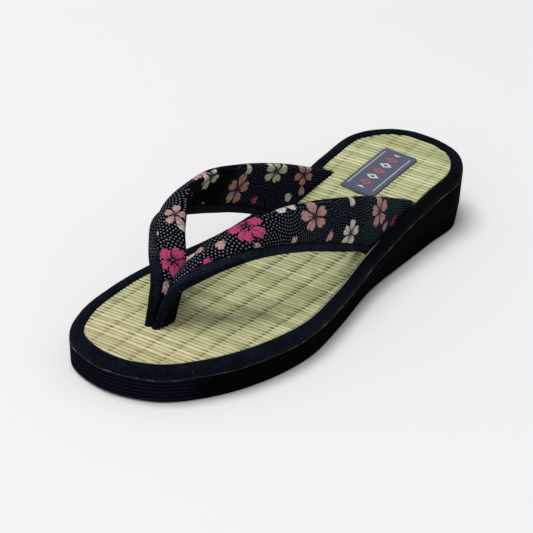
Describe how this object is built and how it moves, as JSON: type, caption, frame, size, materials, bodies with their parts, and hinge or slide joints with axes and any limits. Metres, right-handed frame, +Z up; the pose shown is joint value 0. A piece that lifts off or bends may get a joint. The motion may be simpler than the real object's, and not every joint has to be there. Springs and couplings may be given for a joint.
{
  "type": "zori sandal",
  "caption": "Flat thong sandal with a low wedge sole, a bound rush mat and a padded cloth strap joined in a toe post.",
  "frame": {"origin": "on the floor, under the middle of the sandal's length and width", "axes": "+Z up, the toe points to -Y, +X is the outer side of a left foot"},
  "size_m": [0.0844, 0.24, 0.0579],
  "materials": {
    "sole_foam": "matt dense sole foam with fine moulded ribs round its side",
    "board": "matt board, hidden under the mat",
    "navy_velvet": "short navy pile",
    "rush": "satin woven rush with reeds across the sandal",
    "label_cloth": "fine woven label",
    "print_cloth": "crepe cloth with a dot ground and printed blossoms"
  },
  "bodies": {
    "root": {"outsole": "sole_foam", "footbed_board": "board", "edge_binding": "navy_velvet", "rush_mat": "rush", "label_patch": "label_cloth", "strap": "print_cloth", "strap_edging_outer": "navy_velvet", "strap_edging_inner": "navy_velvet"}
  },
  "joints": []
}
